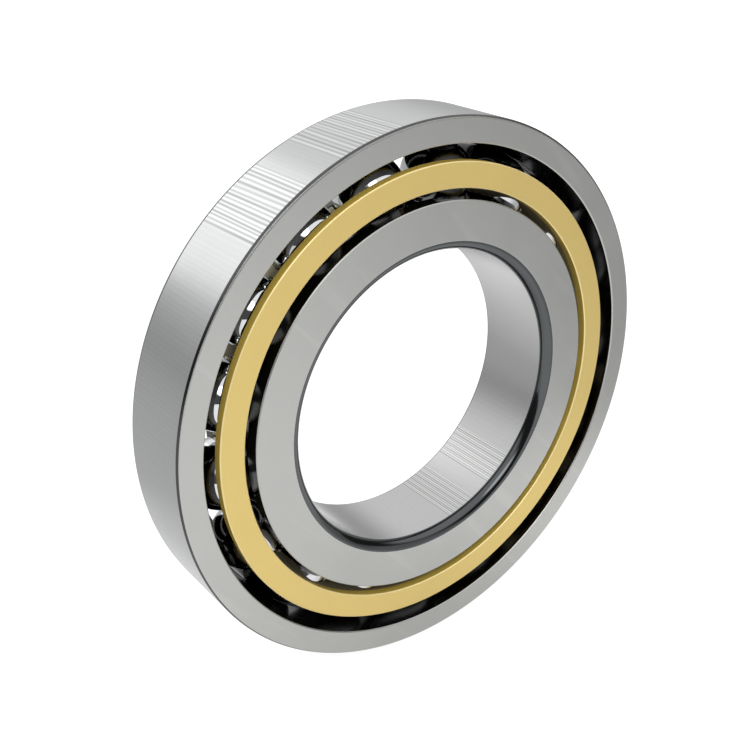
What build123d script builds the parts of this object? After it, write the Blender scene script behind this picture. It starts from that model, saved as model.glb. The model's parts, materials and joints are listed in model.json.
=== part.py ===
"""Single-row angular contact ball bearing with a machined brass cage.

The bearing stands on its rim. The origin is the centre of the bearing, half way through
its width. The shaft axis is Y, +Z is up, and the open side of the outer ring, where the
cage and the balls show, faces -Y. Thrust on the inner ring is carried from the -Y side to
the +Y side.
"""
from build123d import *
from math import cos, pi, radians, sin
import os

# Driving dimensions, in millimetres and degrees
BORE_DIAMETER = 170.0
OUTSIDE_DIAMETER = 310.0
WIDTH = 52.0
BALL_DIAMETER = 38.1
BALL_COUNT = 17
CONTACT_ANGLE = 40.0
FIRST_BALL_ANGLE = 102.0    # from +X towards +Z, seen from the open side

# Rings
PITCH_RADIUS = (BORE_DIAMETER + OUTSIDE_DIAMETER) / 4
GROOVE_CONFORMITY = 0.52    # groove radius over ball diameter
BALL_PLAY = 0.04            # gap between a ball and each groove, along the contact line
SHOULDER_RADIUS_INNER = 112.2
SHOULDER_RADIUS_OUTER = 127.8
MOUTH_RADIUS = 140.8        # open side of the outer ring, at its face
LIP_RADIUS = 138.6          # open side of the outer ring, beside the groove
LARGE_CORNER = 6.3          # rounding of the bore at -Y and of the outside at +Y
SMALL_CORNER = 2.0          # rounding of the bore at +Y and of the outside at -Y
EDGE_BREAK = 0.6            # small chamfers where the ground faces meet

# Cage: a front ring with prongs that lean inwards between the balls
POCKET_CLEARANCE = 0.3      # radial gap between a ball and its pocket
CAGE_RECESS = 0.9           # front of the cage behind the face of the rings
CAGE_RIM_THICKNESS = 5.0
CAGE_OUTER_RADIUS = 131.8
CAGE_BORE_RADIUS = 117.9
CAGE_BEVEL = 0.5
PRONG_ROOT_RADIUS = 127.0
PRONG_OUTER_RADIUS = 117.4
PRONG_INNER_RADIUS = 113.8
PRONG_LEAN_END = -8.0       # where the lean stops and the prong runs straight back
PRONG_BORE_START = -14.0
PRONG_TIP = 8.0

# Values that follow from them
HALF_WIDTH = WIDTH / 2
BALL_RADIUS = BALL_DIAMETER / 2
GROOVE_RADIUS = GROOVE_CONFORMITY * BALL_DIAMETER
GROOVE_SHIFT = GROOVE_RADIUS - BALL_RADIUS - BALL_PLAY
CAGE_FRONT = -HALF_WIDTH + CAGE_RECESS
CAGE_RIM_BACK = CAGE_FRONT + CAGE_RIM_THICKNESS
POCKET_RADIUS = BALL_RADIUS + POCKET_CLEARANCE


def outline(*points):
    """Closed face of a cross-section; x is the radius and y is the place along the shaft."""
    return make_face(Polyline(*points, close=True))


def corner_at(section, radius, place):
    """The corner of a cross-section that is nearest to a point."""
    return section.vertices().sort_by_distance((radius, place, 0))[0]


def turn(section):
    """Revolve a cross-section about the shaft axis."""
    return revolve(section, Axis.Y).solid()


def groove(side):
    """Section of a ball groove. side is 1 for the outer ring's and -1 for the inner ring's."""
    lean = radians(CONTACT_ANGLE)
    centre = (PITCH_RADIUS - side * GROOVE_SHIFT * cos(lean), -side * GROOVE_SHIFT * sin(lean))
    return Pos(*centre) * Circle(GROOVE_RADIUS)


def outer_ring():
    """Outer ring: one high shoulder at +Y, and opened out to a cone at -Y."""
    outside = OUTSIDE_DIAMETER / 2
    section = outline(
        (LIP_RADIUS, 0),
        (LIP_RADIUS, -BALL_RADIUS / 3),
        (MOUTH_RADIUS, -HALF_WIDTH + EDGE_BREAK),
        (MOUTH_RADIUS + EDGE_BREAK, -HALF_WIDTH),
        (outside, -HALF_WIDTH),
        (outside, HALF_WIDTH),
        (SHOULDER_RADIUS_OUTER + EDGE_BREAK, HALF_WIDTH),
        (SHOULDER_RADIUS_OUTER, HALF_WIDTH - EDGE_BREAK),
        (SHOULDER_RADIUS_OUTER, 0),
    )
    section = fillet(corner_at(section, outside, -HALF_WIDTH), SMALL_CORNER)
    section = fillet(corner_at(section, outside, HALF_WIDTH), LARGE_CORNER)
    return turn(section - groove(1))


def inner_ring():
    """Inner ring: a shoulder on each side of its groove, and the bore for the shaft."""
    bore = BORE_DIAMETER / 2
    section = outline(
        (bore, -HALF_WIDTH),
        (SHOULDER_RADIUS_INNER - EDGE_BREAK, -HALF_WIDTH),
        (SHOULDER_RADIUS_INNER, -HALF_WIDTH + EDGE_BREAK),
        (SHOULDER_RADIUS_INNER, HALF_WIDTH - EDGE_BREAK),
        (SHOULDER_RADIUS_INNER - EDGE_BREAK, HALF_WIDTH),
        (bore, HALF_WIDTH),
    )
    section = fillet(corner_at(section, bore, -HALF_WIDTH), LARGE_CORNER)
    section = fillet(corner_at(section, bore, HALF_WIDTH), SMALL_CORNER)
    return turn(section - groove(-1))


def ball_angle(number):
    """Place of a ball round the pitch circle, in degrees."""
    return FIRST_BALL_ANGLE + 360 * number / BALL_COUNT


def ball_centre(number):
    """Centre of a ball on the pitch circle."""
    angle = radians(ball_angle(number))
    return Pos(PITCH_RADIUS * cos(angle), 0, PITCH_RADIUS * sin(angle))


def ball(number):
    """One ball, with its poles on the line that it rolls about."""
    lean = Rot(Y=-ball_angle(number)) * Rot(Z=CONTACT_ANGLE - 90)
    return ball_centre(number) * lean * Rot(Y=90) * Sphere(BALL_RADIUS)


def pocket(number):
    """Cutter for a ball's pocket: a round hole bored in from the outside towards the shaft."""
    depth = 2 * (CAGE_OUTER_RADIUS - PITCH_RADIUS + BALL_RADIUS)
    bored = Cylinder(POCKET_RADIUS, depth, rotation=(0, 90, 0))
    return ball_centre(number) * Rot(Y=-ball_angle(number)) * bored


def cage():
    """One-piece machined cage: its turned blank with a pocket bored for each ball."""
    section = outline(
        (CAGE_BORE_RADIUS + CAGE_BEVEL, CAGE_FRONT),
        (CAGE_OUTER_RADIUS - CAGE_BEVEL, CAGE_FRONT),
        (CAGE_OUTER_RADIUS, CAGE_FRONT + CAGE_BEVEL),
        (CAGE_OUTER_RADIUS, CAGE_RIM_BACK),
        (PRONG_ROOT_RADIUS, CAGE_RIM_BACK),
        (PRONG_OUTER_RADIUS, PRONG_LEAN_END),
        (PRONG_OUTER_RADIUS, PRONG_TIP),
        (PRONG_INNER_RADIUS, PRONG_TIP),
        (PRONG_INNER_RADIUS, PRONG_BORE_START),
        (CAGE_BORE_RADIUS, CAGE_RIM_BACK),
        (CAGE_BORE_RADIUS, CAGE_FRONT + CAGE_BEVEL),
    )
    blank = turn(section)
    for number in range(BALL_COUNT):
        blank -= pocket(number)
    return blank.solid()


def pieces():
    """Every piece of the bearing, by its node's name."""
    made = {"outer_ring": outer_ring(), "inner_ring": inner_ring(), "cage": cage()}
    for number in range(BALL_COUNT):
        made[f"ball_{number + 1:02d}"] = ball(number)
    return made


os.makedirs("parts", exist_ok=True)
for name, solid in pieces().items():
    export_step(solid, f"parts/{name}.step")

chord = 2 * PITCH_RADIUS * sin(pi / BALL_COUNT)
print(f"gap between balls on the pitch circle: {chord - BALL_DIAMETER:.2f} mm")
print(f"groove shift: {GROOVE_SHIFT:.3f} mm")
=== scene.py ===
"""Angular contact ball bearing with a machined brass cage, modelled around its fixed frame.

Lengths are in metres. The shaft axis is Y, +Z is up, the open side of the bearing faces -Y,
and the origin is the centre of the bearing.
"""
import json
from math import asin, cos, hypot, pi, radians, sin

import bpy
from bpy.props import FloatProperty, FloatVectorProperty, IntProperty, PointerProperty
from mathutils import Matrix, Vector


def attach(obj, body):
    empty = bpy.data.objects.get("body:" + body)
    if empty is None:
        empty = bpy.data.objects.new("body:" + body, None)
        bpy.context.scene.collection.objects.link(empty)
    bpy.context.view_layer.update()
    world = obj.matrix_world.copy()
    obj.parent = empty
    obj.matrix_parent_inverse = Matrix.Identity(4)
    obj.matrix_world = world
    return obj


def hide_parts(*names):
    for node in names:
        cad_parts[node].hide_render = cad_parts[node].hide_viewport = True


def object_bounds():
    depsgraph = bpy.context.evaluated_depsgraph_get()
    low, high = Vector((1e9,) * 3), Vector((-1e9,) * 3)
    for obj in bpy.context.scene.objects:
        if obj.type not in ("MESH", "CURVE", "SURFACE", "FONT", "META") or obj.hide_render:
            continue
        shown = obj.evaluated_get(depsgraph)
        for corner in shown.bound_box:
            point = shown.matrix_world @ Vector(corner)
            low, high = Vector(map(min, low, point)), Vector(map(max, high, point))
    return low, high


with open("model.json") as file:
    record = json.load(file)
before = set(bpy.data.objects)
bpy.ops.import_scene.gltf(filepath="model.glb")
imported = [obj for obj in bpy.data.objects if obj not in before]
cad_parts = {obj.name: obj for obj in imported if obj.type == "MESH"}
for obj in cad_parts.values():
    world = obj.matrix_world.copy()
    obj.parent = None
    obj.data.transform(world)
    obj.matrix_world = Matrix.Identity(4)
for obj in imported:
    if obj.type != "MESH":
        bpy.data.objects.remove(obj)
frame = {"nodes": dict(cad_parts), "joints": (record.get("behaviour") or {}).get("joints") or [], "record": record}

bl_info = {
    "name": "Angular Contact Ball Bearing",
    "version": (1, 0, 0),
    "blender": (4, 5, 0),
    "location": "3D View > Sidebar > Bearing",
    "description": "Models the rings, cage and balls of a bearing round its frame",
    "category": "Add Mesh",
}

CAD_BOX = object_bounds()
MOUNTS = {mount["name"]: mount for mount in frame["record"]["mounts"]}
JOINTS = {joint["name"]: joint for joint in frame["joints"]}
BALLS = sorted(name for name in frame["nodes"] if name.startswith("ball_"))
MILLIMETRE = 0.001
SHAFT = (0.0, 1.0, 0.0)
SQUARE_ON = 0.99
TURN_STEPS = 360
CAGE_STEPS_PER_BALL = 24
GROOVE_STEPS = 40
LARGE_CORNER_STEPS = 12
SMALL_CORNER_STEPS = 8
POCKET_SIDES = 128
BALL_CUTS = 31
SMOOTH_BELOW = radians(32)
RING_EDGES_OVER = radians(24)
CAGE_EDGES_OVER = radians(35)
MOST_TRIANGLES = 200000


def length(name, description, default):
    """A size that a user can change, in metres."""
    return FloatProperty(name=name, description=description, default=default, unit="LENGTH", precision=5)


def angle(name, description, degrees):
    """An angle that a user can change."""
    return FloatProperty(name=name, description=description, default=radians(degrees), subtype="ANGLE")


def number(name, description, default):
    """A plain number that a user can change."""
    return FloatProperty(name=name, description=description, default=default)


def colour(name, description, default):
    """A base colour that a user can change."""
    return FloatVectorProperty(name=name, description=description, default=default, subtype="COLOR",
                               size=3, min=0.0, max=1.0)


class BearingSizes(bpy.types.PropertyGroup):
    """Sizes of the bearing's pieces."""
    outside_radius: length("Outside radius", "Ground seat for the housing",
                           MOUNTS["housing_seat"]["dims"]["r_mm"] * MILLIMETRE)
    bore_radius: length("Bore radius", "Ground seat for the shaft",
                        MOUNTS["shaft_bore"]["dims"]["r_mm"] * MILLIMETRE)
    half_width: length("Half width", "From the middle of the bearing to either face", CAD_BOX[1].y)
    pitch_radius: length("Pitch radius", "Circle of the ball centres",
                         Vector(JOINTS[BALLS[0] + "_roll"]["pos_m"]).length)
    ball_radius: length("Ball radius", "Radius of each ball", 0.01905)
    contact_angle: angle("Contact angle", "Lean of the line through a ball's contacts", 40)
    conformity: number("Conformity", "Groove radius over ball diameter", 0.52)
    ball_play: length("Ball play", "Gap between a ball and each groove", 0.00004)
    large_corner: length("Large corner", "Rounding on the side that takes the thrust", 0.0063)
    small_corner: length("Small corner", "Rounding on the other side", 0.0020)
    inner_shoulder: length("Inner shoulder radius", "Lands beside the inner groove", 0.1122)
    outer_shoulder: length("Outer shoulder radius", "High land behind the outer groove", 0.1278)
    lip: length("Lip radius", "Low land in front of the outer groove", 0.1386)
    lip_front: length("Lip front", "Where the low land gives way to the mouth", -0.00635)
    mouth: length("Mouth radius", "Opening of the outer ring at its face", 0.1408)
    edge_break: length("Edge break", "Chamfer where two ground faces meet", 0.0006)
    soft_edge: length("Soft edge", "Rounding of the rings' sharp edges", 0.00012)
    pocket_clearance: length("Pocket clearance", "Gap between a ball and its pocket", 0.0003)


class CageSizes(bpy.types.PropertyGroup):
    """Sizes of the cage."""
    recess: length("Recess", "Front of the cage behind the faces of the rings", 0.0009)
    rim_thickness: length("Rim thickness", "Front ring of the cage, along the shaft", 0.005)
    rim_outside: length("Rim outside radius", "Outside of the front ring", 0.1318)
    rim_bore: length("Rim bore radius", "Inside of the front ring", 0.1179)
    bevel: length("Bevel", "Chamfers of the front ring", 0.0005)
    soft_edge: length("Soft edge", "Rounding of the cage's sharp edges", 0.00025)
    prong_root: length("Prong root radius", "Where the prongs leave the front ring", 0.127)
    prong_outside: length("Prong outside radius", "Outside of the prongs", 0.1174)
    prong_inside: length("Prong inside radius", "Inside of the prongs", 0.1138)
    lean_end: length("Lean end", "Where the prongs stop leaning, from the middle", -0.008)
    bore_start: length("Bore start", "Where the prongs' bore runs straight, from the middle", -0.014)
    tip: length("Tip", "Ends of the prongs, from the middle", 0.008)


class BearingFinishes(bpy.types.PropertyGroup):
    """Colours of the bearing's metals."""
    steel: colour("Ground steel", "Faces of the rings", (0.485, 0.49, 0.472))
    seat_steel: colour("Ground seat", "Housing seat of the outer ring", (0.48, 0.487, 0.487))
    bore_steel: colour("Ground bore", "Shaft seat of the inner ring", (0.45, 0.455, 0.45))
    rounding: colour("Small corner", "Turned small corners of the rings", (0.10, 0.10, 0.10))
    scale: colour("Corner scale", "Unground large corners of the rings", (0.098, 0.103, 0.107))
    raceway: colour("Raceway", "Honed grooves", (0.12, 0.12, 0.12))
    land: colour("Land", "Turned lands beside the grooves", (0.055, 0.055, 0.055))
    brass: colour("Cage brass", "Turned brass of the front ring", (0.70, 0.535, 0.19))
    # Painted shade: a more orange copy of the brass for the rim's shaded outside and bore.
    shaded_side_brass: colour("Side brass", "Outside and bore of the front ring", (0.80, 0.57, 0.11))
    # Painted highlight: a lighter copy of the brass for the chamfers.
    highlight_brass: colour("Edge brass", "Bright chamfers of the front ring", (0.92, 0.75, 0.36))
    # Painted shade: a greyer, darker copy of the brass for the prongs and pockets.
    shaded_bored_brass: colour("Bored brass", "Prongs and pockets", (0.60, 0.53, 0.36))
    ball: colour("Ball steel", "Lapped balls", (0.66, 0.67, 0.68))
    # The grinding stripes are real bumps and also painted sheen in the seats' colour, round the arcs set below.
    chatter_count: IntProperty(name="Chatter count", description="Grinding marks round a seat", default=400)
    outer_arc: angle("Outer worn arc", "Middle of the marks on the housing seat", 116)
    bore_arc: angle("Bore worn arc", "Middle of the marks on the shaft seat", -59.5)


class StageSettings(bpy.types.PropertyGroup):
    """Camera and light."""
    azimuth: angle("Azimuth", "Camera's turn from facing +Y", -36.77)
    elevation: angle("Elevation", "Camera's height above the horizon", 25.78)
    distance: length("Distance", "From the camera's plane to the bearing's centre", 0.6142)
    aside: length("Aside", "How far the camera stands to the left of facing the centre", 0.01646)
    above: length("Above", "How far the camera stands above facing the centre", 0.00602)
    lens: number("Lens", "Focal length in millimetres", 52.48)
    floor_radius: length("Floor radius", "Size of the round floor", 2.5)
    # The floor settings below shape the floor's glow: painted light and painted shade that the steel reflects.
    pool: number("Pool", "Light on the floor beside the bearing", 0.86)
    front_floor: number("Front floor", "Light on the floor in front", 0.84)
    right_floor: number("Right floor", "Light on the floor to the right", 0.28)
    shaded_floor: number("Shaded floor", "How much light the floor behind keeps", 0.60)
    horizon: number("Horizon", "Light low down behind the bearing", 0.50)
    overhead: number("Overhead", "Light high up behind the bearing", 1.12)
    dim: number("Dim side", "Light on the open side", 0.08)
    rear_softbox: number("Rear softbox", "Soft patch high behind", 1.75)
    front_softbox: number("Front softbox", "Soft patch high in front", 3.2)
    right_softbox: number("Right softbox", "Soft patch low to the right", 0.7)
    backdrop: number("Backdrop", "Light of the surroundings where they are looked at", 1.1)


# Modelling by hand: sections drawn as chains of edges, then turned


def deselect_all():
    """Leave nothing selected, so that an operator works on the new piece alone."""
    if bpy.context.object and bpy.context.object.mode != "OBJECT":
        bpy.ops.object.mode_set(mode="OBJECT")
    bpy.ops.object.select_all(action="DESELECT")


class Section:
    """Cross-section of a turned piece, drawn with a pen. A point is (radius, place along the shaft)."""

    def __init__(self, name, start):
        deselect_all()
        bpy.ops.mesh.primitive_plane_add(size=MILLIMETRE, location=(0, 0, 0))
        self.piece = bpy.context.object
        self.piece.name = name
        self.pen = Vector(start)
        bpy.ops.object.mode_set(mode="EDIT")
        bpy.ops.mesh.select_all(action="SELECT")
        bpy.ops.mesh.merge(type="CENTER")
        bpy.ops.transform.translate(value=(*start, 0))

    def line(self, *points):
        """Straight edges through the points."""
        for point in points:
            step = Vector(point) - self.pen
            bpy.ops.mesh.extrude_region_move(TRANSFORM_OT_translate={"value": (*step, 0)})
            self.pen = Vector(point)
        return self

    def arc(self, centre, angle, steps):
        """An arc about a centre. A positive angle turns towards +Y; spin counts the other way."""
        bpy.ops.mesh.spin(steps=steps, angle=-angle, center=(*centre, 0), axis=(0, 0, 1))
        offset = self.pen - Vector(centre)
        turned = Vector((offset.x * cos(angle) - offset.y * sin(angle),
                         offset.x * sin(angle) + offset.y * cos(angle)))
        self.pen = Vector(centre) + turned
        return self

    def turn(self, steps=TURN_STEPS):
        """Spin the section round the shaft axis into a closed solid with its faces outwards."""
        bpy.ops.mesh.select_all(action="SELECT")
        bpy.ops.mesh.remove_doubles(threshold=MILLIMETRE / 1000)
        bpy.ops.mesh.spin(steps=steps, angle=2 * pi, center=(0, 0, 0), axis=SHAFT)
        bpy.ops.mesh.select_all(action="SELECT")
        bpy.ops.mesh.remove_doubles(threshold=MILLIMETRE / 1000)
        bpy.ops.mesh.normals_make_consistent(inside=False)
        bpy.ops.object.mode_set(mode="OBJECT")
        return self.piece


def apply_modifier(piece, kind, **settings):
    """Make the piece the active one, add a modifier to it, set it and apply it."""
    bpy.context.view_layer.objects.active = piece
    added = piece.modifiers.new(kind.lower(), kind)
    for name, value in settings.items():
        setattr(added, name, value)
    if bpy.ops.object.modifier_apply(modifier=added.name) != {"FINISHED"}:
        raise RuntimeError(f"{piece.name}: the {kind.lower()} modifier could not be applied")


def soften(piece, width, edges_over):
    """Round the edges sharper than an angle, smooth the round faces, and keep the broad faces flat."""
    apply_modifier(piece, "BEVEL", width=width, segments=2, limit_method="ANGLE", angle_limit=edges_over)
    piece.select_set(True)
    bpy.ops.object.shade_smooth_by_angle(angle=SMOOTH_BELOW)
    apply_modifier(piece, "WEIGHTED_NORMAL", keep_sharp=True, weight=100)


def check_closed(piece):
    """Stop if a piece has an open edge or too many triangles."""
    mesh = piece.data
    uses = {}
    for polygon in mesh.polygons:
        for key in polygon.edge_keys:
            uses[key] = uses.get(key, 0) + 1
    open_edges = sum(1 for count in uses.values() if count != 2)
    triangles = sum(len(polygon.vertices) - 2 for polygon in mesh.polygons)
    if open_edges or triangles > MOST_TRIANGLES:
        raise RuntimeError(f"{piece.name}: {open_edges} open edges, {triangles} triangles")


def paint_by_place(piece, finishes, choose):
    """Give the piece its finishes. choose(radius, along, outward, forward) names the one for each face."""
    names = list(finishes)
    piece.data.materials.clear()
    for name in names:
        piece.data.materials.append(finishes[name])
    for polygon in piece.data.polygons:
        middle = polygon.center
        radius = hypot(middle.x, middle.z)
        outward = (polygon.normal.x * middle.x + polygon.normal.z * middle.z) / radius
        polygon.material_index = names.index(choose(radius, middle.y, outward, polygon.normal.y))


def settle(piece, body, slot, *nodes):
    """Hand a finished piece to its body; it stands for its own plain solid."""
    check_closed(piece)
    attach(piece, body)
    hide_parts(*nodes)


# Shading


def add_node(tree, kind, inputs=None, **settings):
    """A shader node with its settings, and its inputs given as values or linked from sockets."""
    made = tree.nodes.new(kind)
    for name, value in settings.items():
        setattr(made, name, value)
    for name, value in (inputs or {}).items():
        if isinstance(value, bpy.types.NodeSocket):
            tree.links.new(value, made.inputs[name])
        else:
            made.inputs[name].default_value = value
    return made


def maths(tree, operation, *values):
    """Result of one Math node."""
    return add_node(tree, "ShaderNodeMath", dict(enumerate(values)), operation=operation).outputs[0]


def remap(tree, value, low, high, to_low=0.0, to_high=1.0, kind="SMOOTHSTEP"):
    """Value moved from one range to another and held inside it."""
    inputs = {"Value": value, "From Min": low, "From Max": high, "To Min": to_low, "To Max": to_high}
    return add_node(tree, "ShaderNodeMapRange", inputs, interpolation_type=kind).outputs[0]


def white_if_seen(tree, light, white):
    """The light that a surface sends out: one strength where it is looked at, another elsewhere."""
    seen = add_node(tree, "ShaderNodeLightPath").outputs["Is Camera Ray"]
    return add_node(tree, "ShaderNodeMix", {0: seen, 2: light, 3: white}, data_type="FLOAT").outputs[0]


def add_softbox(tree, direction, towards, inner, outer, strength):
    """A soft round patch of light in the surroundings; inner and outer are in degrees from its middle."""
    inputs = {0: direction, 1: Vector(towards).normalized()}
    nearness = add_node(tree, "ShaderNodeVectorMath", inputs, operation="DOT_PRODUCT").outputs["Value"]
    return remap(tree, nearness, cos(radians(outer)), cos(radians(inner)), 0.0, strength)


def noise(tree, position, scale, stretch=(1, 1, 1), detail=2.0, roughness=0.5):
    """Noise of 0 to 1, with its grain stretched along an axis where that factor is small."""
    place = add_node(tree, "ShaderNodeMapping", {"Vector": position, "Scale": stretch}).outputs[0]
    inputs = {"Vector": place, "Scale": scale, "Detail": detail, "Roughness": roughness}
    return add_node(tree, "ShaderNodeTexNoise", inputs).outputs["Fac"]


VECTOR = "NodeSocketVector"
VALUE = "NodeSocketFloat"


def make_group(name, inputs, outputs, fill):
    """A node group with named sockets, filled by fill(tree, its inputs) -> its outputs, built once."""
    found = bpy.data.node_groups.get(name)
    if found:
        return found
    tree = bpy.data.node_groups.new(name, "ShaderNodeTree")
    for socket, kind, default in inputs:
        made = tree.interface.new_socket(name=socket, in_out="INPUT", socket_type=kind)
        if default is not None:
            made.default_value = default
    for socket in outputs:
        tree.interface.new_socket(name=socket, in_out="OUTPUT", socket_type="NodeSocketFloat")
    given = tree.nodes.new("NodeGroupInput").outputs
    results = fill(tree, given)
    end = tree.nodes.new("NodeGroupOutput")
    for socket, value in zip(outputs, results):
        tree.links.new(value, end.inputs[socket])
    return tree


def shaft_place():
    """Group: a point's angle round the shaft, its radius, and its place along the shaft."""
    def fill(tree, given):
        parts = add_node(tree, "ShaderNodeSeparateXYZ", {"Vector": given["Position"]}).outputs
        angle = maths(tree, "ARCTAN2", parts["Z"], parts["X"])
        squares = maths(tree, "ADD", maths(tree, "MULTIPLY", parts["X"], parts["X"]),
                        maths(tree, "MULTIPLY", parts["Z"], parts["Z"]))
        return angle, maths(tree, "SQRT", squares), parts["Y"]
    return make_group("shaft_place", [("Position", VECTOR, None)], ["Angle", "Radius", "Along"], fill)


def use_shaft_place(tree, position):
    """Outputs of a shaft_place group put on a position."""
    made = add_node(tree, "ShaderNodeGroup", None, node_tree=shaft_place())
    tree.links.new(position, made.inputs["Position"])
    return made.outputs


ARC_FULL = radians(20)
ARC_END = radians(23)
BAND_SPACING = radians(22)


def grinding_chatter_and_sheen():
    """Group: fine grooves that a grinding wheel leaves across its path, in two bands of one arc. The first output
    bumps the surface. The second also goes into the seats' colour as painted sheen: bright and dark stripes, set
    where the grooves catch the light.
    """
    def fill(tree, given):
        place = use_shaft_place(tree, given["Position"])
        drift = noise(tree, given["Position"], 40.0, (1, 0.1, 1))
        phase = maths(tree, "ADD", maths(tree, "MULTIPLY", place["Angle"], given["Count"]),
                      maths(tree, "MULTIPLY", drift, 20.0))
        slow = maths(tree, "SINE", maths(tree, "MULTIPLY", phase, 0.37), 0.0)
        wave = maths(tree, "MULTIPLY_ADD", slow, 0.4, maths(tree, "SINE", phase, 0.0))
        turned = maths(tree, "SUBTRACT", place["Angle"], given["Middle"])
        arc = remap(tree, maths(tree, "COSINE", turned, 0.0), cos(ARC_END), cos(ARC_FULL))
        repeat = maths(tree, "MULTIPLY", turned, 2 * pi / BAND_SPACING)
        band = remap(tree, maths(tree, "COSINE", repeat, 0.0), 0.55, 0.30)
        uneven = noise(tree, given["Position"], 160.0, (1, 0.05, 1), 2.0)
        # The bands sit round the arc where the stripes catch the light, which puts painted sheen in the seats'
        # colour there.
        marked_and_lit = maths(tree, "MULTIPLY", maths(tree, "MULTIPLY", arc, band), uneven)
        strength = maths(tree, "MULTIPLY_ADD", marked_and_lit, 0.62, 0.02)
        # Real grooves for the bump, and painted sheen where this goes into the colour.
        marks_and_sheen = maths(tree, "MULTIPLY_ADD", wave, strength, 0.5)
        lines = noise(tree, given["Position"], 620.0, (1, 0.012, 1), 3.0)
        height = maths(tree, "MULTIPLY_ADD", lines, 0.3, marks_and_sheen)
        return height, marks_and_sheen
    return make_group("grinding_chatter_and_sheen", [("Position", VECTOR, None), ("Count", VALUE, 400.0),
                                           ("Middle", VALUE, 0.0)], ["Height", "Marks_and_sheen"], fill)


def turning_lines():
    """Group: fine rings that a lathe tool leaves, on faces and round outsides alike."""
    def fill(tree, given):
        place = use_shaft_place(tree, given["Position"])
        path = maths(tree, "ADD", place["Radius"], place["Along"])
        wobble = noise(tree, given["Position"], 18.0)
        feed = maths(tree, "MULTIPLY", path, 2 * pi / MILLIMETRE)
        rings = maths(tree, "SINE", maths(tree, "MULTIPLY_ADD", feed, given["Lines per mm"], wobble), 0.0)
        across = add_node(tree, "ShaderNodeCombineXYZ", {"X": place["Radius"], "Y": place["Along"]})
        uneven = noise(tree, across.outputs[0], 3500.0, detail=4.0)
        return (maths(tree, "MULTIPLY_ADD", rings, 0.3, uneven),)
    return make_group("turning_lines", [("Position", VECTOR, None), ("Lines per mm", VALUE, 3.0)],
                      ["Height"], fill)


def handling_wear():
    """Group: cloudy patches and light scratches from wiping and handling."""
    def fill(tree, given):
        clouds = noise(tree, given["Position"], 26.0, detail=5.0, roughness=0.62)
        scuffs = noise(tree, given["Position"], 300.0, (1.0, 0.25, 0.08), 3.0, 0.6)
        scratches = remap(tree, scuffs, 0.60, 0.74)
        slant = {"Vector": given["Position"], "Rotation": (0.0, radians(42), 0.0)}
        slanted = add_node(tree, "ShaderNodeMapping", slant).outputs[0]
        streaks = remap(tree, noise(tree, slanted, 120.0, (1.0, 1.0, 0.07), 2.0), 0.56, 0.72, 0.0, 0.35)
        wipes = maths(tree, "ADD", clouds, streaks)
        return clouds, scratches, wipes
    return make_group("handling_wear", [("Position", VECTOR, None)], ["Clouds", "Scratches", "Wipes"], fill)


def new_metal(name, base, roughness, height=None, depth=0.0, shade=None, shade_range=(1.0, 1.0),
              rough_mask=None, rough_range=None, metallic=1.0):
    """A metal. height, shade and rough_mask are functions of (tree, position) that give a socket."""
    metal = bpy.data.materials.new(name)
    metal.use_nodes = True
    metal.diffuse_color = (*base, 1.0)
    tree = metal.node_tree
    shader = tree.nodes["Principled BSDF"]
    shader.inputs["Base Color"].default_value = (*base, 1.0)
    shader.inputs["Metallic"].default_value = metallic
    shader.inputs["Roughness"].default_value = roughness
    position = add_node(tree, "ShaderNodeTexCoord").outputs["Object"]
    if shade:
        factor = remap(tree, shade(tree, position), 0.0, 1.0, *shade_range, kind="LINEAR")
        grey = add_node(tree, "ShaderNodeCombineColor", {"Red": factor, "Green": factor, "Blue": factor})
        mixed = add_node(tree, "ShaderNodeMix", {"Factor": 1.0, 6: (*base, 1.0), 7: grey.outputs[0]},
                         data_type="RGBA", blend_type="MULTIPLY")
        tree.links.new(mixed.outputs[2], shader.inputs["Base Color"])
    if rough_mask:
        tree.links.new(remap(tree, rough_mask(tree, position), 0.0, 1.0, *rough_range, kind="LINEAR"),
                       shader.inputs["Roughness"])
    if height:
        bump = add_node(tree, "ShaderNodeBump", {"Height": height(tree, position), "Distance": depth})
        tree.links.new(bump.outputs["Normal"], shader.inputs["Normal"])
    return metal


def from_group(group, output, **values):
    """A function of (tree, position) that places a group and gives one of its outputs."""
    def place(tree, position):
        made = add_node(tree, "ShaderNodeGroup", None, node_tree=group())
        tree.links.new(position, made.inputs["Position"])
        for name, value in values.items():
            made.inputs[name.replace("_", " ").capitalize()].default_value = value
        return made.outputs[output]
    return place


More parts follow.
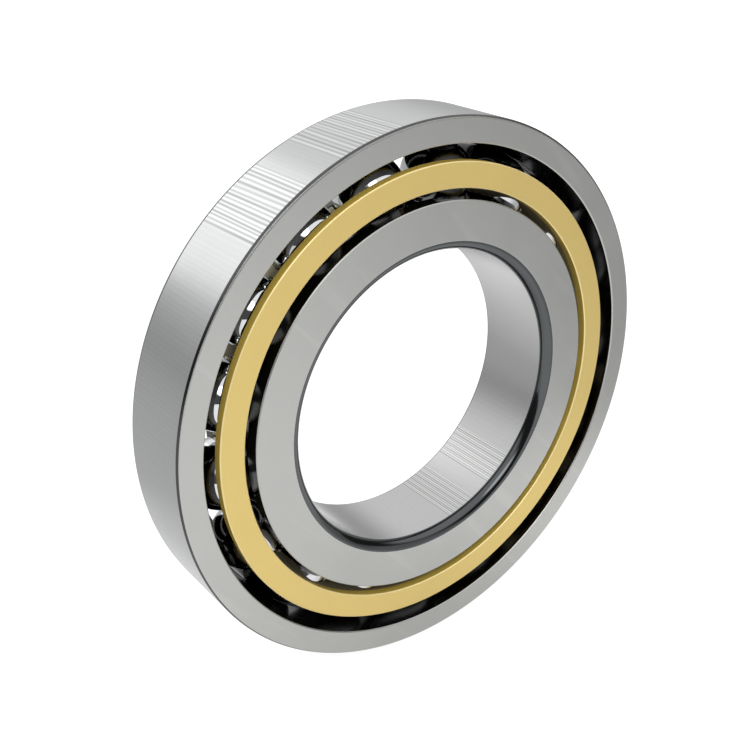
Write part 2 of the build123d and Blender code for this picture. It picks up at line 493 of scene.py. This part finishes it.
def ring_finishes(prefix, seat, arc):
    """The finishes of a ring: ground seat and faces, two kinds of corner, turned lands, honed raceway."""
    colours = bpy.context.scene.bearing_finishes
    count = float(colours.chatter_count)
    clouds = from_group(handling_wear, "Clouds")
    lathe = from_group(turning_lines, "Height")
    return {
        # Painted sheen: the seat's colour goes from 0.6 to 1.4 times its steel along the grinding stripes,
        # standing in for the light they catch. The same stripes are real bumps.
        "seat": new_metal(prefix + "_ground_seat_painted_sheen", tuple(seat), 0.22,
                          from_group(grinding_chatter_and_sheen, "Height", count=count, middle=arc), 0.00004,
                          from_group(grinding_chatter_and_sheen, "Marks_and_sheen", count=count, middle=arc), (0.60, 1.40),
                          clouds, (0.16, 0.30)),
        "face": new_metal(prefix + "_ground_face", tuple(colours.steel), 0.36,
                          from_group(handling_wear, "Scratches"), 0.000003,
                          from_group(handling_wear, "Wipes"), (0.91, 1.08), clouds, (0.32, 0.44)),
        "corner": new_metal(prefix + "_large_corner", tuple(colours.scale), 0.11, lathe, 0.0000008,
                            clouds, (0.85, 1.15)),
        "rounding": new_metal(prefix + "_small_corner", tuple(colours.rounding), 0.24, lathe, 0.0000008,
                              clouds, (0.9, 1.1)),
        "land": new_metal(prefix + "_turned_land", tuple(colours.land), 0.18, lathe, 0.000001),
        "raceway": new_metal(prefix + "_honed_raceway", tuple(colours.raceway), 0.09, lathe, 0.0000003),
    }


# Pieces


def groove_arc(sizes, side):
    """Radius and centre of a groove's arc. side is 1 in the outer ring and -1 in the inner ring."""
    radius = 2 * sizes.conformity * sizes.ball_radius
    shift = radius - sizes.ball_radius - sizes.ball_play
    return radius, Vector((sizes.pitch_radius - side * shift * cos(sizes.contact_angle),
                           -side * shift * sin(sizes.contact_angle)))


def groove_ends(radius, centre, low, high):
    """Angles from the shaft's direction at which a groove's arc meets a land at -Y and a land at +Y."""
    front = asin(min(1.0, abs(low - centre.x) / radius))
    back = asin(min(1.0, abs(high - centre.x) / radius))
    return front, back


def groove_finish(place_radius, along, radius, centre):
    """Finish of a face between the ends of a groove: faces nearer than the groove's arc are land."""
    nearest = 0.985 * radius
    return "raceway" if (Vector((place_radius, along)) - centre).length > nearest else "land"


class BEARING_OT_outer_ring(bpy.types.Operator):
    """Model the outer ring: its section is drawn, turned and given its finishes"""
    bl_idname = "bearing.outer_ring"
    bl_label = "Outer ring"

    def execute(self, context):
        s = context.scene.bearing_sizes
        outside, half, broken = s.outside_radius, s.half_width, s.edge_break
        radius, centre = groove_arc(s, 1)
        front, back = groove_ends(radius, centre, s.lip, s.outer_shoulder)
        lip_meets = centre.y - radius * cos(front)
        land_meets = centre.y + radius * cos(back)
        section = Section("ground_outer_ring", (s.lip, lip_meets))
        section.line((s.lip, s.lip_front), (s.mouth, broken - half), (s.mouth + broken, -half),
                     (outside - s.small_corner, -half))
        section.arc((outside - s.small_corner, -half + s.small_corner), pi / 2, SMALL_CORNER_STEPS)
        section.line((outside, half - s.large_corner))
        section.arc((outside - s.large_corner, half - s.large_corner), pi / 2, LARGE_CORNER_STEPS)
        section.line((s.outer_shoulder + broken, half), (s.outer_shoulder, half - broken),
                     (s.outer_shoulder, land_meets))
        section.arc(centre, -(pi - front - back), GROOVE_STEPS)
        ring = section.turn()
        soften(ring, s.soft_edge, RING_EDGES_OVER)

        def choose(place_radius, along, outward, forward):
            if outward > SQUARE_ON:
                return "seat"
            if abs(forward) > SQUARE_ON:
                return "face"
            if outward > 0.02 and place_radius > outside - s.large_corner:
                if along > 0:
                    return "corner"
                return "face" if forward < -0.86 else "rounding"
            if abs(along) > half - broken:
                return "face"
            if outward < 0 and lip_meets < along < land_meets:
                return groove_finish(place_radius, along, radius, centre)
            return "land"

        colours = context.scene.bearing_finishes
        paint_by_place(ring, ring_finishes("outer", colours.seat_steel, colours.outer_arc), choose)
        settle(ring, "outer_ring", "ring_steel", "outer_ring")
        return {"FINISHED"}


class BEARING_OT_inner_ring(bpy.types.Operator):
    """Model the inner ring: its section is drawn, turned and given its finishes"""
    bl_idname = "bearing.inner_ring"
    bl_label = "Inner ring"

    def execute(self, context):
        s = context.scene.bearing_sizes
        bore, half, broken = s.bore_radius, s.half_width, s.edge_break
        radius, centre = groove_arc(s, -1)
        front, back = groove_ends(radius, centre, s.inner_shoulder, s.inner_shoulder)
        front_meets = centre.y - radius * cos(front)
        back_meets = centre.y + radius * cos(back)
        section = Section("ground_inner_ring", (s.inner_shoulder, back_meets))
        section.line((s.inner_shoulder, half - broken), (s.inner_shoulder - broken, half),
                     (bore + s.small_corner, half))
        section.arc((bore + s.small_corner, half - s.small_corner), pi / 2, SMALL_CORNER_STEPS)
        section.line((bore, -half + s.large_corner))
        section.arc((bore + s.large_corner, -half + s.large_corner), pi / 2, LARGE_CORNER_STEPS)
        section.line((s.inner_shoulder - broken, -half), (s.inner_shoulder, -half + broken),
                     (s.inner_shoulder, front_meets))
        section.arc(centre, -(pi - front - back), GROOVE_STEPS)
        ring = section.turn()
        soften(ring, s.soft_edge, RING_EDGES_OVER)

        def choose(place_radius, along, outward, forward):
            if outward < -SQUARE_ON:
                return "seat"
            if abs(forward) > SQUARE_ON:
                return "face"
            if outward < -0.02:
                return "corner" if along < 0 else "rounding"
            if abs(along) > half - broken:
                return "face"
            if front_meets < along < back_meets:
                return groove_finish(place_radius, along, radius, centre)
            return "land"

        colours = context.scene.bearing_finishes
        paint_by_place(ring, ring_finishes("inner", colours.bore_steel, colours.bore_arc), choose)
        settle(ring, "inner_ring", "ring_steel", "inner_ring")
        return {"FINISHED"}


class BEARING_OT_cage(bpy.types.Operator):
    """Model the cage: turn its blank and bore a pocket for each ball"""
    bl_idname = "bearing.cage"
    bl_label = "Cage"

    def execute(self, context):
        s, c = context.scene.bearing_sizes, context.scene.bearing_cage
        front = c.recess - s.half_width
        rim_back = front + c.rim_thickness
        section = Section("machined_cage", (c.rim_bore + c.bevel, front))
        section.line((c.rim_outside - c.bevel, front), (c.rim_outside, front + c.bevel),
                     (c.rim_outside, rim_back), (c.prong_root, rim_back),
                     (c.prong_outside, c.lean_end), (c.prong_outside, c.tip),
                     (c.prong_inside, c.tip), (c.prong_inside, c.bore_start), (c.rim_bore, rim_back),
                     (c.rim_bore, front + c.bevel), (c.rim_bore + c.bevel, front))
        cage = section.turn(steps=len(BALLS) * CAGE_STEPS_PER_BALL)
        depth = 2 * (c.rim_outside - s.pitch_radius + s.ball_radius)
        deselect_all()
        cutters = []
        for name in BALLS:
            centre = Vector(JOINTS[name + "_roll"]["pos_m"])
            outward = centre.normalized()
            bpy.ops.mesh.primitive_cylinder_add(vertices=POCKET_SIDES, depth=depth, location=centre,
                                                radius=s.ball_radius + s.pocket_clearance,
                                                rotation=outward.to_track_quat("Z", "Y").to_euler())
            cutters.append(context.object)
        for cutter in cutters:
            cutter.select_set(True)
        context.view_layer.objects.active = cutters[0]
        bpy.ops.object.join()
        drill = context.object
        apply_modifier(cage, "BOOLEAN", object=drill, operation="DIFFERENCE", solver="EXACT")
        bpy.data.objects.remove(drill)
        soften(cage, c.soft_edge, CAGE_EDGES_OVER)
        colours = context.scene.bearing_finishes
        clouds = from_group(handling_wear, "Clouds")
        lathe = from_group(turning_lines, "Height")
        finishes = {
            "turned": new_metal("turned_brass", tuple(colours.brass), 0.50, lathe, 0.000004,
                                clouds, (0.94, 1.06), clouds, (0.44, 0.54), metallic=0.55),
            # Painted shade: the rim's outside and bore get a more orange copy of the brass, standing in for the
            # olive shade on them.
            "side": new_metal("shaded_turned_brass_side", tuple(colours.shaded_side_brass), 0.50, lathe, 0.000004,
                              clouds, (0.94, 1.06), clouds, (0.44, 0.54), metallic=0.5),
            # Painted highlight: the chamfers get a lighter brass that stands in for the bright line of light along
            # them.
            "edge": new_metal("chamfer_highlight_brass", tuple(colours.highlight_brass), 0.45, metallic=0.4),
            # Painted shade: the prongs and pockets get a greyer, darker brass that stands in for the shade between
            # the balls.
            "bored": new_metal("shaded_bored_brass", tuple(colours.shaded_bored_brass), 0.30, lathe, 0.000003,
                               metallic=0.9),
        }

        def choose(place_radius, along, outward, forward):
            if along > rim_back - MILLIMETRE / 10:
                return "bored"
            if abs(outward) > 0.9:
                return "side"
            return "edge" if abs(outward) > 0.2 else "turned"

        paint_by_place(cage, finishes, choose)
        settle(cage, "cage", "cage_brass", "cage")
        return {"FINISHED"}


class BEARING_OT_balls(bpy.types.Operator):
    """Model one ball as a rounded cube with even faces, and copy it to each place on the pitch circle"""
    bl_idname = "bearing.balls"
    bl_label = "Balls"

    def execute(self, context):
        s = context.scene.bearing_sizes
        deselect_all()
        bpy.ops.mesh.primitive_cube_add(size=2 * s.ball_radius, location=(0, 0, 0))
        pattern = context.object
        bpy.ops.object.mode_set(mode="EDIT")
        bpy.ops.mesh.select_all(action="SELECT")
        bpy.ops.mesh.subdivide(number_cuts=BALL_CUTS)
        bpy.ops.object.mode_set(mode="OBJECT")
        apply_modifier(pattern, "CAST", cast_type="SPHERE", factor=1.0, use_radius_as_size=False,
                       size=s.ball_radius)
        bpy.ops.object.shade_smooth()
        lapped = new_metal("lapped_ball", tuple(context.scene.bearing_finishes.ball), 0.035,
                           rough_mask=from_group(handling_wear, "Clouds"), rough_range=(0.02, 0.06))
        pattern.data.materials.append(lapped)
        for name in BALLS:
            ball = pattern.copy()
            ball.data = pattern.data.copy()
            ball.name = "lapped_" + name
            context.collection.objects.link(ball)
            deselect_all()
            ball.select_set(True)
            context.view_layer.objects.active = ball
            ball.location = JOINTS[name + "_roll"]["pos_m"]
            bpy.ops.object.transform_apply(location=True, rotation=True, scale=True)
            settle(ball, name, "ball_steel", name)
        bpy.data.objects.remove(pattern)
        return {"FINISHED"}


# Soft patches of the surroundings: direction, and degrees from its middle where it starts and ends fading
SOFT_PATCHES = {
    "rear_softbox": ((-0.22, 0.84, 0.50), 14, 27),
    "front_softbox": ((-0.28, -0.77, 0.57), 8, 18),
    "right_softbox": ((0.65, -0.72, 0.10), 8, 26),
}

# Lights for the floor: place, size and power in watts
FLOOR_LIGHTS = {
    "top_softbox": ((0.3, 0.2, 1.6), 1.0, 22.0),
    "front_softbox": ((-0.9, -1.2, 1.3), 0.7, 16.0),
}


class BEARING_OT_stage(bpy.types.Operator):
    """Set up the pale floor, the soft lights, the white surroundings and the camera"""
    bl_idname = "bearing.stage"
    bl_label = "Stage"

    def execute(self, context):
        stage, sizes = context.scene.bearing_stage, context.scene.bearing_sizes
        self.add_camera(context, stage)
        self.add_floor(sizes, stage)
        self.add_world(stage)
        self.add_lights()
        context.scene.view_settings.view_transform = "Standard"
        return {"FINISHED"}

    def add_camera(self, context, stage):
        """Camera of the main view."""
        turn, rise = stage.azimuth, stage.elevation
        back = Vector((sin(turn) * cos(rise), -cos(turn) * cos(rise), sin(rise)))
        right = Vector((cos(turn), sin(turn), 0))
        up = back.cross(right)
        bpy.ops.object.camera_add(location=back * stage.distance - right * stage.aside + up * stage.above,
                                  rotation=(-back).to_track_quat("-Z", "Y").to_euler())
        camera = context.object
        camera.name = "camera"
        camera.data.lens = stage.lens
        camera.data.sensor_width = 36.0
        camera.data.clip_start = 0.01
        context.scene.camera = camera

    def add_floor(self, sizes, stage):
        """Round pale floor that the outer ring stands on, glowing with a painted pool of light round the bearing.

        The distances are metres from the middle of the floor.
        """
        deselect_all()
        bpy.ops.mesh.primitive_circle_add(vertices=96, radius=stage.floor_radius, fill_type="NGON",
                                          location=(0, 0, -sizes.outside_radius))
        floor = bpy.context.object
        floor.name = "floor"
        paint = bpy.data.materials.new("pale_floor")
        paint.use_nodes = True
        tree = paint.node_tree
        position = add_node(tree, "ShaderNodeTexCoord").outputs["Object"]
        far = add_node(tree, "ShaderNodeVectorMath", {"Vector": position}, operation="LENGTH")
        away = far.outputs["Value"]
        parts = add_node(tree, "ShaderNodeSeparateXYZ", {"Vector": position}).outputs
        # Painted light: everywhere but the camera, the floor glows in a painted pool round the bearing, brighter
        # in front than to the right, for the steel to reflect.
        pool = remap(tree, away, 0.22, 0.46, stage.pool, 0.0)
        sideways = maths(tree, "DIVIDE", parts["X"], away)
        around = remap(tree, sideways, 0.25, 0.85, stage.front_floor, stage.right_floor)
        around = maths(tree, "MULTIPLY", around, remap(tree, parts["Y"], 0.0, 0.20, 1.0, 0.74))
        light = maths(tree, "MAXIMUM", pool, around)
        # Painted shade under the bearing.
        light = maths(tree, "MULTIPLY", light, remap(tree, away, 0.0, 0.22, 0.70, 1.0))
        # Painted shade behind the bearing and to its left.
        rear_left = maths(tree, "SUBTRACT", parts["Y"], parts["X"])
        light = maths(tree, "MULTIPLY", light, remap(tree, rear_left, 0.10, 0.32, 1.0, stage.shaded_floor))
        white = remap(tree, away, 0.3, 1.5, 0.90, 1.10)
        shader = tree.nodes["Principled BSDF"]
        shader.inputs["Base Color"].default_value = (0.16, 0.16, 0.16, 1)
        shader.inputs["Roughness"].default_value = 0.9
        shader.inputs["Specular IOR Level"].default_value = 0.0
        shader.inputs["Emission Color"].default_value = (1, 1, 1, 1)
        tree.links.new(white_if_seen(tree, light, white), shader.inputs["Emission Strength"])
        floor.data.materials.append(paint)

    def add_world(self, stage):
        """Surroundings: dim on the open side, bright behind and overhead, with three soft patches."""
        world = bpy.data.worlds.new("studio_tent")
        world.use_nodes = True
        bpy.context.scene.world = world
        tree = world.node_tree
        tree.nodes.clear()
        direction = add_node(tree, "ShaderNodeTexCoord").outputs["Generated"]
        parts = add_node(tree, "ShaderNodeSeparateXYZ", {"Vector": direction}).outputs
        behind = remap(tree, parts["Y"], 0.05, 0.55)
        height = remap(tree, parts["Z"], 0.0, 0.45, stage.horizon, stage.overhead)
        ceiling = remap(tree, parts["Z"], 0.36, 0.60, stage.dim, stage.overhead)
        tent = maths(tree, "MAXIMUM", maths(tree, "MULTIPLY", behind, height), ceiling)
        for name, (towards, inner, outer) in SOFT_PATCHES.items():
            patch = add_softbox(tree, direction, towards, inner, outer, getattr(stage, name))
            tent = maths(tree, "MAXIMUM", tent, patch)
        strength = white_if_seen(tree, tent, stage.backdrop)
        glow = add_node(tree, "ShaderNodeBackground", {"Color": (1, 1, 1, 1), "Strength": strength})
        end = add_node(tree, "ShaderNodeOutputWorld")
        tree.links.new(glow.outputs[0], end.inputs["Surface"])

    def add_light(self, name, place, size, power):
        """A soft square light that faces the bearing and doesn't show in its mirror finishes."""
        place = Vector(place)
        bpy.ops.object.light_add(type="AREA", location=place,
                                 rotation=(-place).to_track_quat("-Z", "Y").to_euler())
        light = bpy.context.object
        light.name = name
        light.data.size = size
        light.data.energy = power
        light.visible_camera = False
        light.visible_glossy = False

    def add_lights(self):
        """Soft lights overhead and in front, for the floor."""
        for name, (place, size, power) in FLOOR_LIGHTS.items():
            self.add_light(name, place, size, power)


class BEARING_PT_panel(bpy.types.Panel):
    """Lists the steps of the model"""
    bl_idname = "BEARING_PT_panel"
    bl_label = "Bearing"
    bl_space_type = "VIEW_3D"
    bl_region_type = "UI"
    bl_category = "Bearing"

    def draw(self, context):
        for operator in OPERATORS:
            self.layout.operator(operator.bl_idname)


OPERATORS = (BEARING_OT_outer_ring, BEARING_OT_inner_ring, BEARING_OT_cage, BEARING_OT_balls,
             BEARING_OT_stage)
GROUPS = {"bearing_sizes": BearingSizes, "bearing_cage": CageSizes, "bearing_finishes": BearingFinishes,
          "bearing_stage": StageSettings}


def register():
    """Register the settings, the operators and the panel."""
    for name, group in GROUPS.items():
        bpy.utils.register_class(group)
        setattr(bpy.types.Scene, name, PointerProperty(type=group))
    for operator in OPERATORS:
        bpy.utils.register_class(operator)
    bpy.utils.register_class(BEARING_PT_panel)


def unregister():
    """Take back what register() added."""
    bpy.utils.unregister_class(BEARING_PT_panel)
    for operator in reversed(OPERATORS):
        bpy.utils.unregister_class(operator)
    for name, group in GROUPS.items():
        delattr(bpy.types.Scene, name)
        bpy.utils.unregister_class(group)


def main():
    """Build every piece and the stage."""
    register()
    bpy.ops.bearing.outer_ring()
    bpy.ops.bearing.inner_ring()
    bpy.ops.bearing.cage()
    bpy.ops.bearing.balls()
    bpy.ops.bearing.stage()


if __name__ == "__main__":
    main()
